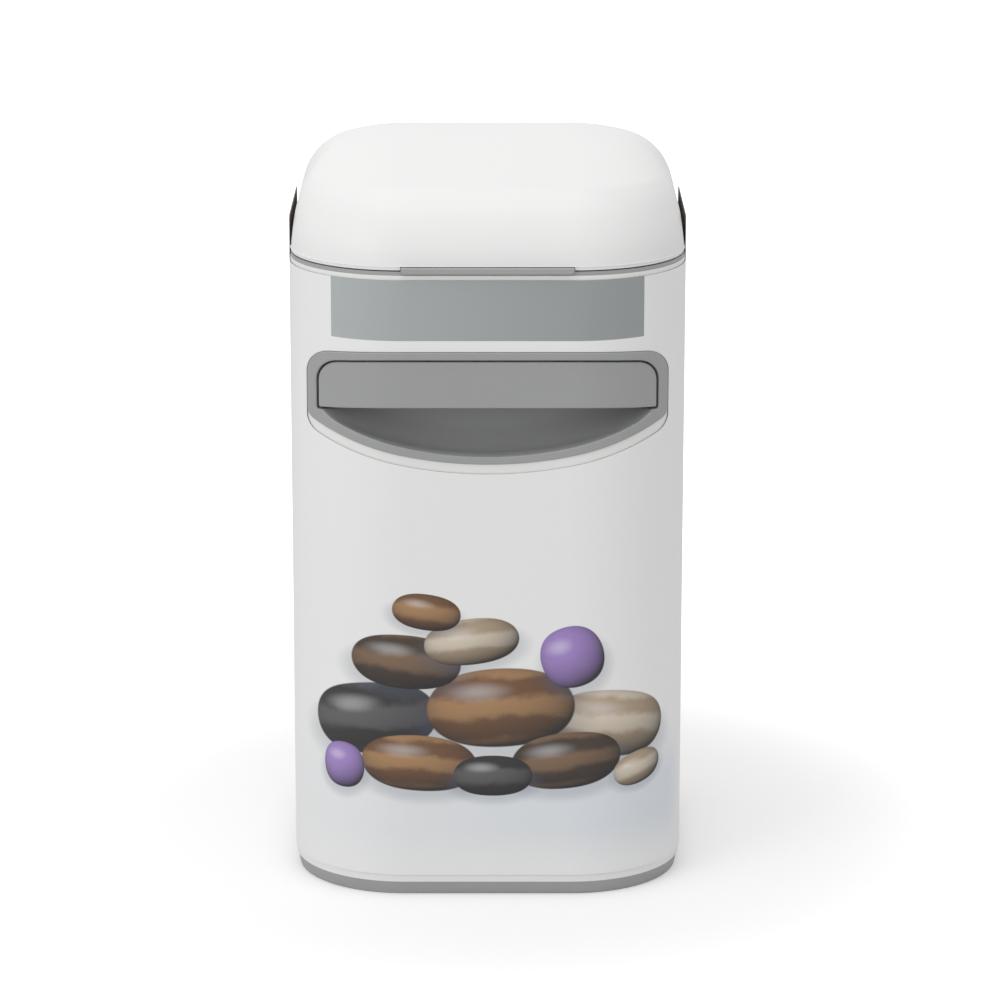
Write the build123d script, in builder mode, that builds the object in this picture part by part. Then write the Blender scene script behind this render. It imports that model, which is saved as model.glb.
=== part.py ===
"""Litter disposal pail: a tall rounded-square steel pail on a plastic base.

A hinged lid covers a funnel.  Under the funnel a sliding gate, pulled open by
the handle in the front and closed again by two springs, pinches the bag shut.
A roll of bag film waits in a trough, and a plastic bin inside the pail takes
the full bag.  A card wrap with two side ears goes round the new pail.

Units are millimetres, +Z is up, the front faces -Y, and the origin is on the
floor under the middle of the pail.
"""
import math
import os

from build123d import *

# ---------------------------------------------------------------- sizes
# pail body
body_width = 298.0
body_depth = 298.0
body_corner = 85.0
base_height = 10.5
shell_height = 472.0
shell_wall = 1.2

# base and bin
base_foot_inset = 2.7
base_rim_inset = 0.5
base_floor = 3.0
spigot_height = 20.0
spigot_wall = 2.0
spigot_gap = 0.4
bin_gap = 0.6
bin_wall = 2.0
bin_height = 322.0

# collar on top of the steel shell
collar_inset = 0.3
collar_flange = 3.0
collar_width = 9.0
collar_skirt_gap = 0.3
collar_skirt_wall = 2.5
collar_skirt_depth = 18.0
ledge_thickness = 2.0

# front opening: heights are above the floor, outlines seen from the front
bezel_margin = 13.8
bezel_top = 424.8
bezel_side_bottom = 369.7
bezel_bottom = 339.4
bezel_corner = 19.5
bezel_low_corner = 8.0
bezel_proud = 1.6
bezel_flange = 1.55
bezel_round = 1.0
bezel_side = 7.6
opening_top = 418.8
opening_side_bottom = 375.6
opening_bottom = 345.3
opening_corner = 18.0
opening_low_corner = 4.0
front_drop = 5.5
cup_wall = 2.0
cup_depth = 39.0
cup_scoop = 24.0

# handle grip
grip_gap = 1.4
grip_bottom = 382.3
grip_side_bottom = 377.3
grip_low_corner = 1.0
grip_proud = 0.5
grip_wall = 4.5
grip_round = 0.8
grip_boss_width = 28.0
grip_boss_height = 24.0
grip_boss_depth = 7.0

# sliding gate, carried by two rails under the funnel
slide_travel = 70.0
gate_level = 400.0
gate_thickness = 8.0
gate_half_width = 93.0
gate_rear = 76.0
gate_gap = 0.4
arm_spacing = 120.0
arm_width = 14.0
arm_flange = 4.0
seal_reach = 3.7
seal_height = 12.0
seal_half_width = 78.0
jaw_gap = 0.3
jaw_pad = 3.0

# rails of the clamp housing
rail_inner = 84.0
rail_width = 22.0
rail_bottom = 374.0
rail_top = 412.0
rail_front_gap = 2.0
rail_rear = 112.0
crossbar_width = 15.0
crossbar_lift = 5.5
front_bar_width = 10.0
front_bar_height = 9.0
front_bar_setback = 8.0

# return springs
spring_radius = 3.5
spring_wire = 0.9
spring_pitch = 6.4
spring_spacing = 160.0
spring_drop = 10.0
peg_radius = 2.5
peg_setback = 8.0
peg_rear = 104.0
spring_gap = 0.3

# funnel tray
tray_thickness = 3.0
tray_gap = 0.3
mouth_width = 180.0
mouth_depth = 140.0
mouth_corner = 34.0
throat_width = 150.0
throat_depth = 68.0
throat_corner = 16.0
throat_length = 7.0
funnel_wall = 2.0
funnel_clearance = 1.0
boss_radius = 6.0
boss_spacing = 198.0
boss_front = -62.0
boss_rear = 104.0
bag_ring_width = 9.0
bag_ring_height = 6.0

# roll of bag film in its trough
roll_radius = 16.0
roll_length = 148.0
core_radius = 9.0
core_wall = 1.3
core_gap = 0.2
axle_radius = 3.0
axle_end = 8.0
axle_gap = 0.3
roll_setback = 47.0
roll_clearance = 4.0
trough_wall = 2.0
cradle_width = 3.0

# screws
screw_radius = 2.0
screw_head_radius = 3.6
screw_head_height = 2.4
screw_length = 44.0
screw_gap = 0.05
small_screw_radius = 1.5
small_head_radius = 2.7
small_head_height = 1.8
small_screw_length = 9.0
small_screw_spacing = 20.0
counterbore_depth = 10.0

# lid
lid_gap = 1.0
lid_inset = 0.5
lid_height = 83.5
lid_wall = 2.8
liner_lift = 0.4
liner_thickness = 1.6
liner_gap = 0.6
tab_half_width = 64.0
tab_drop = 3.0
tab_reach = 3.6
tab_lip = 3.0
tab_corner = 2.8
notch_gap = 0.4
seal_ring_inset = 4.0
seal_ring_width = 3.5
seal_ring_gap = 0.3

# lid hinges
hinge_offset = 7.0
hinge_rise = 1.0
hinge_radius = 5.0
hinge_spacing = 120.0
knuckle_width = 14.0
ear_width = 12.0
knuckle_gap = 0.5
pin_radius = 2.5
pin_fit = 0.05
pin_clearance = 0.1
hinge_arm_thickness = 3.6

# card wrap
wrap_gap = 0.15
wrap_thickness = 0.8
wrap_bottom = 16.3
wrap_top = 479.0
wrap_window_gap = 0.5
wrap_window_bottom = 331.9
wrap_window_side_bottom = 361.6
wrap_window_low_corner = 13.0
ear_front = -66.0
ear_rear = 60.0
ear_top = 512.0
ear_corner = 3.0

# ---------------------------------------------------------------- derived
shell_top = base_height + shell_height
collar_top = shell_top + collar_flange
front_face = -body_depth / 2
flat_half = body_width / 2 - body_corner
bezel_half_width = body_width / 2 - bezel_margin
opening_half_width = bezel_half_width - bezel_side
cup_back = front_face + cup_depth
cup_front = cup_back - cup_wall
tray_level = shell_top - collar_skirt_depth + ledge_thickness + 3.5
tray_top = tray_level + tray_thickness
gate_bottom = gate_level - gate_thickness / 2
gate_top = gate_level + gate_thickness / 2
rail_front = cup_back + rail_front_gap
rail_depth = rail_rear - rail_front
rail_centre_y = (rail_front + rail_rear) / 2
gate_front = rail_front + slide_travel
gate_length = gate_rear - gate_front
peg_front = gate_front + peg_setback
boss_centre_y = (boss_front + boss_rear) / 2
boss_pitch_y = boss_rear - boss_front
funnel_bottom = gate_top + funnel_clearance
throat_rear = gate_rear + 2.0
throat_middle = throat_rear - throat_depth / 2
mouth_middle = throat_middle - 3.0
jaw_face = gate_rear + seal_reach + jaw_gap
crossbar_front = jaw_face + jaw_pad
crossbar_bottom = gate_level - crossbar_lift
spring_level = gate_bottom - spring_drop / 2 - 1.0
roll_y = front_face + roll_setback
trough_depth = 2 * (roll_radius + roll_clearance)
roll_level = tray_level - roll_radius - roll_clearance + 1.0
trough_bottom = roll_level - roll_radius - roll_clearance
axle_half = roll_length / 2 + axle_end
coil_radius = spring_radius - spring_wire / 2
hook_level = spring_level + coil_radius
lid_bottom = collar_top + lid_gap
liner_level = lid_bottom + liner_lift
liner_top = liner_level + liner_thickness
hinge_y = body_depth / 2 + hinge_offset
hinge_z = lid_bottom + hinge_rise
grip_back = front_face + grip_wall
arm_front = grip_back + grip_boss_depth
window_half_width = bezel_half_width + wrap_window_gap
scoop_top = grip_side_bottom - grip_gap
outside = 10.0
front_end = front_face - outside
deep = 60.0

# Lid sections: height above the lid's edge, then how far the side, the front and the corner
# radius draw in, as shares of the half width, the half depth and the corner radius.
lid_sections = [
    (0.0, 0.0, 0.0, 0.0),
    (18.0, 0.011, 0.030, 0.018),
    (38.0, 0.040, 0.107, 0.071),
    (54.0, 0.087, 0.222, 0.165),
    (65.0, 0.148, 0.386, 0.306),
    (74.0, 0.238, 0.581, 0.482),
    (80.5, 0.366, 0.742, 0.647),
    (lid_height, 0.466, 0.822, 0.735),
]


# ---------------------------------------------------------------- helpers
def body_prism(offset, low, high):
    """The pail's rounded-square outline, grown by an offset, between two heights."""
    with BuildPart() as prism:
        with BuildSketch(Plane.XY.offset(low)):
            RectangleRounded(body_width + 2 * offset, body_depth + 2 * offset, body_corner + offset)
        extrude(amount=high - low)
    return prism.part


def body_tube(outer, inner, low, high):
    """A wall that follows the pail's outline between two offsets."""
    with BuildPart() as tube:
        with BuildSketch(Plane.XY.offset(low)):
            RectangleRounded(body_width + 2 * outer, body_depth + 2 * outer, body_corner + outer)
            RectangleRounded(
                body_width + 2 * inner, body_depth + 2 * inner, body_corner + inner, mode=Mode.SUBTRACT
            )
        extrude(amount=high - low)
    return tube.part


def side_corners(outline):
    """The corners at an outline's left and right ends, the lowest first."""
    by_width = outline.vertices().group_by(Axis.X)
    return (by_width[0] + by_width[-1]).sort_by(Axis.Y)


def bowed_line(half_width, level, drop):
    """A line that is level across the flat front and drops towards its two ends."""
    for side in (-1, 1):
        ThreePointArc((side * half_width, level - drop),
                      (side * (half_width + flat_half) / 2, level - drop / 4),
                      (side * flat_half, level))
    Line((-flat_half, level), (flat_half, level))


def front_block(half_width, top, side_bottom, bottom, corner, low_corner, back, level_low=False):
    """A block along Y, open to the front: its top bows down at the ends, its bottom may sag."""
    with BuildPart() as block:
        with BuildSketch(Plane.XZ.offset(-back)) as outline:
            with BuildLine():
                bowed_line(half_width, top, front_drop)
                for end in (-half_width, half_width):
                    Line((end, top - front_drop), (end, side_bottom))
                if level_low:
                    bowed_line(half_width, bottom, bottom - side_bottom)
                else:
                    ThreePointArc((half_width, side_bottom), (0, bottom), (-half_width, side_bottom))
            make_face()
            fillet(side_corners(outline)[2:], corner)
            fillet(side_corners(outline)[:2], low_corner)
        extrude(amount=back - front_end)
    return block.part


def slab(x_low, x_high, y_low, y_high, z_low, z_high):
    """A plain box between two corners."""
    with BuildPart() as box:
        with BuildSketch(Plane.XY.offset(z_low)):
            with Locations(((x_low + x_high) / 2, (y_low + y_high) / 2)):
                Rectangle(x_high - x_low, y_high - y_low)
        extrude(amount=z_high - z_low)
    return box.part


def scooped_block(half_width, top, side_bottom, bottom, corner, low_corner, back, scoop, scoop_top):
    """A front block whose floor and ends sweep up into its back, below a level."""
    plain = front_block(half_width, top, side_bottom, bottom, corner, low_corner, back)
    with BuildPart() as bowl:
        add(plain)
        fillet(bowl.faces().sort_by(Axis.Y)[-1].edges(), scoop)
        add(plain & slab(-half_width, half_width, front_end, back, scoop_top, top))
    return bowl.part


def rim_edges(piece, proud):
    """The edges round a piece's front, which lies on the body's outline grown by an offset."""

    def on_skin(point):
        side = max(abs(point.X) - flat_half, 0)
        front = max(-point.Y - body_depth / 2 + body_corner, 0)
        return abs(math.hypot(side, front) - body_corner - proud) < 0.01

    def is_rim(edge):
        seam = abs(abs((edge @ 0.5).X) - flat_half) < 0.01
        return not seam and all(on_skin(edge @ step) for step in (0, 0.25, 0.5, 0.75, 1))

    return piece.edges().filter_by(is_rim)


def rod(radius, x_low, x_high, y, z):
    """A round bar along X."""
    with BuildPart() as bar:
        with BuildSketch(Plane.YZ.offset(x_low)):
            with Locations((y, z)):
                Circle(radius)
        extrude(amount=x_high - x_low)
    return bar.part


def lid_dome(inset):
    """The lid's pillow shape, shrunk by an inset, as a loft through its sections."""
    with BuildPart() as dome:
        for rise, side_share, front_share, corner_share in lid_sections:
            width = body_width * (1 - side_share) - 2 * (lid_inset + inset)
            depth = body_depth * (1 - front_share) - 2 * (lid_inset + inset)
            corner = body_corner * (1 - corner_share) - inset
            with BuildSketch(Plane.XY.offset(lid_bottom + rise * (1 - inset / lid_height))):
                RectangleRounded(width, depth, corner)
        loft()
    return dome.part


def save(piece, name):
    """Labels a finished piece and writes it to its own file."""
    piece.label = name
    export_step(piece, f"parts/{name}.step")


os.makedirs("parts", exist_ok=True)

# ---------------------------------------------------------------- base and bin
floor_block = body_prism(-spigot_wall - shell_wall - spigot_gap, base_floor, base_height + spigot_height)
spigot = body_tube(
    -shell_wall - spigot_gap, -shell_wall - spigot_gap - spigot_wall, base_height, base_height + spigot_height
)

with BuildPart() as base_tray:
    for level, inset in ((0, base_foot_inset), (base_height, base_rim_inset)):
        with BuildSketch(Plane.XY.offset(level)):
            RectangleRounded(body_width - 2 * inset, body_depth - 2 * inset, body_corner - inset)
    loft()
    add(spigot)
    add(floor_block, mode=Mode.SUBTRACT)
    fillet(base_tray.faces().sort_by(Axis.Z)[0].edges(), 1.2)
save(base_tray.part, "base_tray")

bin_offset = -shell_wall - spigot_gap - spigot_wall - bin_gap
bin_hollow = body_prism(bin_offset - bin_wall, base_floor + bin_wall, base_floor + bin_height)

with BuildPart() as inner_bin:
    add(body_prism(bin_offset, base_floor, base_floor + bin_height))
    fillet(inner_bin.faces().sort_by(Axis.Z)[0].edges(), 3.0)
    add(bin_hollow, mode=Mode.SUBTRACT)
save(inner_bin.part, "inner_bin")

# ---------------------------------------------------------------- steel shell
cup_block = scooped_block(
    opening_half_width + cup_wall, opening_top + cup_wall, opening_side_bottom - cup_wall,
    opening_bottom - cup_wall, opening_corner + cup_wall, opening_low_corner + cup_wall, cup_back,
    cup_scoop + cup_wall, scoop_top - cup_wall,
)
shell_cutter = front_block(
    opening_half_width + cup_wall + tray_gap, opening_top + cup_wall + tray_gap,
    opening_side_bottom - cup_wall - tray_gap, opening_bottom - cup_wall - tray_gap,
    opening_corner + cup_wall + tray_gap, opening_low_corner + cup_wall + tray_gap, cup_back,
)

with BuildPart() as steel_shell:
    add(body_tube(0, -shell_wall, base_height, shell_top))
    add(shell_cutter, mode=Mode.SUBTRACT)
save(steel_shell.part, "steel_shell")

# ---------------------------------------------------------------- handle bezel
bezel_band = body_tube(bezel_proud, bezel_proud - bezel_flange, bezel_bottom - 1, bezel_top + 1)
bezel_block = front_block(
    bezel_half_width, bezel_top, bezel_side_bottom, bezel_bottom, bezel_corner, bezel_low_corner,
    cup_back,
)
opening_block = scooped_block(
    opening_half_width, opening_top, opening_side_bottom, opening_bottom, opening_corner,
    opening_low_corner, cup_front, cup_scoop, scoop_top,
)
bezel_skin = body_prism(bezel_proud, bezel_bottom - deep, bezel_top + deep)

with BuildPart() as handle_bezel:
    add(cup_block)
    add(bezel_skin, mode=Mode.INTERSECT)
    add(bezel_block & bezel_band)
    add(opening_block, mode=Mode.SUBTRACT)
    fillet(rim_edges(handle_bezel, bezel_proud), bezel_round)
    with BuildSketch(Plane.XZ.offset(-cup_back)):
        with Locations((-arm_spacing / 2, gate_level), (arm_spacing / 2, gate_level)):
            Rectangle(arm_width + 2, gate_thickness + 2)
    extrude(amount=2 * cup_wall, mode=Mode.SUBTRACT)
save(handle_bezel.part, "handle_bezel")

# ---------------------------------------------------------------- handle grip
grip_block = front_block(
    opening_half_width - grip_gap, opening_top - grip_gap, grip_side_bottom, grip_bottom,
    opening_corner - grip_gap, grip_low_corner, cup_front, level_low=True,
)
grip_band = body_tube(grip_proud, -grip_wall, grip_side_bottom - 1, opening_top + 1)

with BuildPart() as handle_grip:
    add(grip_block & grip_band)
    fillet(rim_edges(handle_grip, grip_proud), grip_round)
    with BuildSketch(Plane.XZ.offset(-arm_front)):
        with Locations((-arm_spacing / 2, gate_level), (arm_spacing / 2, gate_level)):
            Rectangle(grip_boss_width, grip_boss_height)
    extrude(amount=grip_boss_depth + 1)
    with Locations(Plane.XZ.offset(-arm_front)):
        with Locations((-arm_spacing / 2, gate_level), (arm_spacing / 2, gate_level)):
            with GridLocations(small_screw_spacing, 0.1, 2, 1):
                Hole(small_screw_radius + screw_gap, small_screw_length - arm_flange + screw_gap)
save(handle_grip.part, "handle_grip")

# ---------------------------------------------------------------- gate slide
with BuildPart() as gate_slide:
    with BuildSketch(Plane.XY.offset(gate_bottom)):
        with Locations((0, (gate_rear + gate_front) / 2)):
            Rectangle(2 * gate_half_width, gate_length)
        for side in (-1, 1):
            with Locations((side * arm_spacing / 2, (gate_front + arm_front) / 2)):
                Rectangle(arm_width, gate_front - arm_front)
    extrude(amount=gate_thickness)
    fillet(gate_slide.edges().filter_by(Axis.Z).group_by(Axis.Y)[1], 5.0)
    with BuildSketch(Plane.XZ.offset(-arm_front - arm_flange)):
        with Locations((-arm_spacing / 2, gate_level), (arm_spacing / 2, gate_level)):
            Rectangle(grip_boss_width, grip_boss_height)
    extrude(amount=arm_flange)
    with BuildSketch(Plane.XZ.offset(-arm_front - arm_flange)):
        with Locations((-arm_spacing / 2, gate_level), (arm_spacing / 2, gate_level)):
            with GridLocations(small_screw_spacing, 0.1, 2, 1):
                Circle(small_screw_radius + screw_gap)
    extrude(amount=arm_flange, mode=Mode.SUBTRACT)
    with BuildSketch(Plane.XY.offset(gate_bottom)):
        with Locations((-spring_spacing / 2, peg_front), (spring_spacing / 2, peg_front)):
            Circle(peg_radius)
    extrude(amount=-spring_drop)
save(gate_slide.part, "gate_slide")

with BuildPart() as handle_screws:
    with BuildSketch(Plane.XZ.offset(-arm_front - arm_flange)):
        with Locations((-arm_spacing / 2, gate_level), (arm_spacing / 2, gate_level)):
            with GridLocations(small_screw_spacing, 0.1, 2, 1):
                Circle(small_screw_radius)
    extrude(amount=small_screw_length)
    with BuildSketch(Plane.XZ.offset(-arm_front - arm_flange)):
        with Locations((-arm_spacing / 2, gate_level), (arm_spacing / 2, gate_level)):
            with GridLocations(small_screw_spacing, 0.1, 2, 1):
                Circle(small_head_radius)
    extrude(amount=-small_head_height)
save(handle_screws.part, "handle_screws")

with BuildPart() as gate_seal:
    add(slab(-seal_half_width, seal_half_width, gate_rear, gate_rear + seal_reach,
             gate_level - seal_height / 2, gate_level + seal_height / 2))
    add(slab(-seal_half_width - 1, seal_half_width + 1, gate_rear, gate_rear + seal_reach,
             gate_top + funnel_clearance - 0.4, gate_top + seal_height), mode=Mode.SUBTRACT)
    fillet(gate_seal.faces().sort_by(Axis.Y)[-1].edges().filter_by(Axis.X), 1.6)
save(gate_seal.part, "gate_seal")

# ---------------------------------------------------------------- clamp housing
rail_middle = rail_inner + rail_width / 2

with BuildPart() as clamp_housing:
    with BuildSketch(Plane.XY.offset(rail_bottom)):
        with Locations((-rail_middle, rail_centre_y), (rail_middle, rail_centre_y)):
            Rectangle(rail_width, rail_depth)
    extrude(amount=rail_top - rail_bottom)
    add(slab(-rail_inner, rail_inner, crossbar_front, crossbar_front + crossbar_width,
             crossbar_bottom, rail_top))
    add(slab(-rail_inner, rail_inner, rail_front + front_bar_setback,
             rail_front + front_bar_setback + front_bar_width, rail_bottom, rail_bottom + front_bar_height))
    add(slab(-gate_half_width - gate_gap, gate_half_width + gate_gap, rail_front, jaw_face,
             gate_bottom - gate_gap, gate_top + gate_gap), mode=Mode.SUBTRACT)
    for side in (-1, 1):
        add(rod(peg_radius, min(side * rail_inner, side * (spring_spacing / 2 - peg_radius)),
                max(side * rail_inner, side * (spring_spacing / 2 - peg_radius)), peg_rear, hook_level))
    with BuildSketch(Plane.XY.offset(rail_bottom)):
        with Locations((0, boss_centre_y)):
            with GridLocations(boss_spacing, boss_pitch_y, 2, 2):
                Circle(screw_radius + screw_gap)
    extrude(amount=rail_top - rail_bottom, mode=Mode.SUBTRACT)
    with BuildSketch(Plane.XY.offset(rail_bottom)):
        with Locations((0, boss_centre_y)):
            with GridLocations(boss_spacing, boss_pitch_y, 2, 2):
                Circle(screw_head_radius + 10 * screw_gap)
    extrude(amount=counterbore_depth, mode=Mode.SUBTRACT)
save(clamp_housing.part, "clamp_housing")

with BuildPart() as rear_jaw_pad:
    add(slab(-seal_half_width, seal_half_width, jaw_face, crossbar_front,
             crossbar_bottom, gate_top + funnel_clearance))
save(rear_jaw_pad.part, "rear_jaw_pad")

with BuildPart() as clamp_screws:
    with BuildSketch(Plane.XY.offset(rail_bottom + counterbore_depth)):
        with Locations((0, boss_centre_y)):
            with GridLocations(boss_spacing, boss_pitch_y, 2, 2):
                Circle(screw_radius)
    extrude(amount=screw_length)
    with BuildSketch(Plane.XY.offset(rail_bottom + counterbore_depth)):
        with Locations((0, boss_centre_y)):
            with GridLocations(boss_spacing, boss_pitch_y, 2, 2):
                Circle(screw_head_radius)
    extrude(amount=-screw_head_height)
save(clamp_screws.part, "clamp_screws")

# ---------------------------------------------------------------- return springs
loop_radius = peg_radius + spring_gap + spring_wire / 2
coil_start = peg_front + loop_radius
coil_end = peg_rear - loop_radius
coil_turns = round((coil_end - coil_start) / spring_pitch)
coil_pitch = (coil_end - coil_start) / coil_turns

for side, name in ((-1, "return_spring_left"), (1, "return_spring_right")):
    spring_x = side * spring_spacing / 2
    with BuildPart() as return_spring:
        with BuildLine():
            coil = Helix(coil_pitch, coil_end - coil_start, coil_radius,
                         center=(spring_x, coil_start, spring_level), direction=(0, 1, 0))
        with BuildSketch(Plane(origin=coil @ 0, z_dir=coil % 0)):
            Circle(spring_wire / 2)
        sweep()
        with Locations((spring_x, peg_front, hook_level)):
            Torus(loop_radius, spring_wire / 2)
        with Locations(Location((spring_x, peg_rear, hook_level), (0, 90, 0))):
            Torus(loop_radius, spring_wire / 2)
    save(return_spring.part, name)

# ---------------------------------------------------------------- collar
skirt_outer = -shell_wall - collar_skirt_gap
skirt_inner = skirt_outer - collar_skirt_wall
skirt_low = shell_top - collar_skirt_depth
ledge = body_tube(skirt_inner, -collar_width - 3, tray_level - ledge_thickness, tray_level)
flange = body_tube(-collar_inset, -collar_width, shell_top, collar_top)
hinge_centres = [side * hinge_spacing / 2 for side in (-1, 1)]
ear_shift = knuckle_width / 2 + knuckle_gap

with BuildPart() as collar_ring:
    add(body_tube(skirt_outer, skirt_inner, skirt_low, shell_top))
    add(flange)
    add(ledge)
    for centre in hinge_centres:
        for start in (centre - ear_shift - ear_width, centre + ear_shift):
            add(slab(start, start + ear_width, body_depth / 2 - collar_width / 2, hinge_y,
                     shell_top, collar_top))
            add(rod(hinge_radius, start, start + ear_width, hinge_y, hinge_z))
            add(rod(pin_radius + pin_fit, start, start + ear_width, hinge_y, hinge_z), mode=Mode.SUBTRACT)
save(collar_ring.part, "collar_ring")

with BuildPart() as hinge_pins:
    for centre in hinge_centres:
        add(rod(pin_radius, centre - ear_shift - ear_width, centre + ear_shift + ear_width, hinge_y, hinge_z))
save(hinge_pins.part, "hinge_pins")

# ---------------------------------------------------------------- funnel tray
trough_half = axle_half + trough_wall
cradle_x = roll_length / 2 + 2.0


def funnel_shape(grow, low, high):
    """The funnel from its mouth to its throat, grown by a wall."""
    with BuildPart() as shape:
        with BuildSketch(Plane.XY.offset(high)):
            with Locations((0, mouth_middle)):
                RectangleRounded(mouth_width + 2 * grow, mouth_depth + 2 * grow, mouth_corner + grow)
        with BuildSketch(Plane.XY.offset(funnel_bottom + throat_length)):
            with Locations((0, throat_middle)):
                RectangleRounded(throat_width + 2 * grow, throat_depth + 2 * grow, throat_corner + grow)
        loft()
        with BuildSketch(Plane.XY.offset(low)):
            with Locations((0, throat_middle)):
                RectangleRounded(throat_width + 2 * grow, throat_depth + 2 * grow, throat_corner + grow)
        extrude(amount=funnel_bottom + throat_length - low)
    return shape.part


funnel_outside = funnel_shape(funnel_wall, funnel_bottom, tray_top)
funnel_inside = funnel_shape(0, funnel_bottom, tray_top)
trough_outside = slab(-trough_half, trough_half, roll_y - trough_depth / 2 - trough_wall,
                      roll_y + trough_depth / 2 + trough_wall, trough_bottom - trough_wall, tray_top)
trough_inside = slab(-trough_half + trough_wall, trough_half - trough_wall, roll_y - trough_depth / 2,
                     roll_y + trough_depth / 2, trough_bottom, tray_top)

with BuildPart() as funnel_tray:
    add(body_prism(skirt_inner - tray_gap, tray_level, tray_top))
    add(funnel_outside)
    add(trough_outside)
    with BuildSketch(Plane.XY.offset(rail_top)):
        with Locations((0, boss_centre_y)):
            with GridLocations(boss_spacing, boss_pitch_y, 2, 2):
                Circle(boss_radius)
    extrude(amount=tray_level - rail_top)
    add(funnel_inside, mode=Mode.SUBTRACT)
    add(trough_inside, mode=Mode.SUBTRACT)
    for side in (-1, 1):
        cradle_start = side * cradle_x - (cradle_width if side < 0 else 0)
        add(slab(cradle_start, cradle_start + cradle_width, roll_y - trough_depth / 2,
                 roll_y + trough_depth / 2, trough_bottom, roll_level + axle_radius))
        add(rod(axle_radius + axle_gap, cradle_start, cradle_start + cradle_width, roll_y, roll_level),
            mode=Mode.SUBTRACT)
        add(slab(cradle_start, cradle_start + cradle_width, roll_y - axle_radius - axle_gap,
                 roll_y + axle_radius + axle_gap, roll_level, roll_level + 2 * axle_radius),
            mode=Mode.SUBTRACT)
    with BuildSketch(Plane.XY.offset(rail_top)):
        with Locations((0, boss_centre_y)):
            with GridLocations(boss_spacing, boss_pitch_y, 2, 2):
                Circle(screw_radius + screw_gap)
    extrude(amount=rail_bottom + counterbore_depth + screw_length - rail_top + 1, mode=Mode.SUBTRACT)
save(funnel_tray.part, "funnel_tray")

with BuildPart() as bag_ring:
    with BuildSketch(Plane.XY.offset(tray_top)):
        with Locations((0, mouth_middle)):
            RectangleRounded(mouth_width + 2 * bag_ring_width, mouth_depth + 2 * bag_ring_width,
                             mouth_corner + bag_ring_width)
            RectangleRounded(mouth_width, mouth_depth, mouth_corner, mode=Mode.SUBTRACT)
    extrude(amount=bag_ring_height)
    fillet(bag_ring.faces().sort_by(Axis.Z)[-1].edges(), 2.4)
save(bag_ring.part, "bag_ring")

# ---------------------------------------------------------------- roll of bag film
hub_radius = core_radius - core_wall - core_gap

with BuildPart() as roll_spindle:
    add(rod(hub_radius, -roll_length / 2, roll_length / 2, roll_y, roll_level))
    add(rod(axle_radius, -axle_half + 1, axle_half - 1, roll_y, roll_level))
save(roll_spindle.part, "roll_spindle")

with BuildPart() as roll_core:
    add(rod(core_radius, -roll_length / 2, roll_length / 2, roll_y, roll_level))
    add(rod(core_radius - core_wall, -roll_length / 2, roll_length / 2, roll_y, roll_level),
        mode=Mode.SUBTRACT)
save(roll_core.part, "roll_core")

with BuildPart() as film_roll:
    add(rod(roll_radius, -roll_length / 2 + 2, roll_length / 2 - 2, roll_y, roll_level))
    add(rod(core_radius, -roll_length / 2, roll_length / 2, roll_y, roll_level), mode=Mode.SUBTRACT)
save(film_roll.part, "film_roll")

# ---------------------------------------------------------------- lid
lid_inner_dome = lid_dome(lid_wall)
tab_notch = slab(-tab_half_width - notch_gap, tab_half_width + notch_gap, front_end,
                 front_face + 3 * lid_wall, lid_bottom - 1, liner_top + notch_gap)
arm_notches = [
    slab(centre - knuckle_width / 2 - notch_gap, centre + knuckle_width / 2 + notch_gap,
         body_depth / 2 - 3 * lid_wall, hinge_y, lid_bottom - 1,
         liner_level + hinge_arm_thickness + notch_gap)
    for centre in hinge_centres
]

with BuildPart() as lid_shell:
    add(lid_dome(0))
    add(lid_inner_dome, mode=Mode.SUBTRACT)
    add(tab_notch, mode=Mode.SUBTRACT)
    add(arm_notches, mode=Mode.SUBTRACT)
save(lid_shell.part, "lid_shell")

liner_offset = -lid_inset - lid_wall - liner_gap
tab_front = front_face - tab_reach

with BuildPart() as lid_liner:
    add(body_prism(liner_offset, liner_level, liner_top))
    add(slab(-tab_half_width, tab_half_width, tab_front, front_face + 3 * lid_wall, liner_level, liner_top))
    with BuildSketch(Plane.XZ.offset(-tab_front - tab_lip)) as lip:
        with Locations((0, liner_top)):
            Rectangle(2 * tab_half_width, liner_thickness + tab_drop, align=(Align.CENTER, Align.MAX))
        fillet(lip.vertices().group_by(Axis.Y)[0], tab_corner)
    extrude(amount=tab_lip)
    fillet(lid_liner.faces().sort_by(Axis.Y)[0].edges(), 0.8)
    for centre in hinge_centres:
        add(slab(centre - knuckle_width / 2, centre + knuckle_width / 2, body_depth / 2 - 4 * lid_wall,
                 hinge_y, liner_level, liner_level + hinge_arm_thickness))
        add(rod(hinge_radius, centre - knuckle_width / 2, centre + knuckle_width / 2, hinge_y, hinge_z))
        add(rod(pin_radius + pin_clearance, centre - knuckle_width / 2, centre + knuckle_width / 2,
                hinge_y, hinge_z), mode=Mode.SUBTRACT)
save(lid_liner.part, "lid_liner")

with BuildPart() as lid_seal:
    add(body_tube(-seal_ring_inset, -seal_ring_inset - seal_ring_width,
                  collar_top + seal_ring_gap, liner_level))
save(lid_seal.part, "lid_seal")

# ---------------------------------------------------------------- card wrap
wrap_window = front_block(
    window_half_width, bezel_top + wrap_window_gap, wrap_window_side_bottom, wrap_window_bottom,
    bezel_corner + wrap_window_gap, wrap_window_low_corner, cup_back,
)
ear_keep = slab(-body_width, body_width, ear_front, ear_rear, wrap_top, ear_top)

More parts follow.
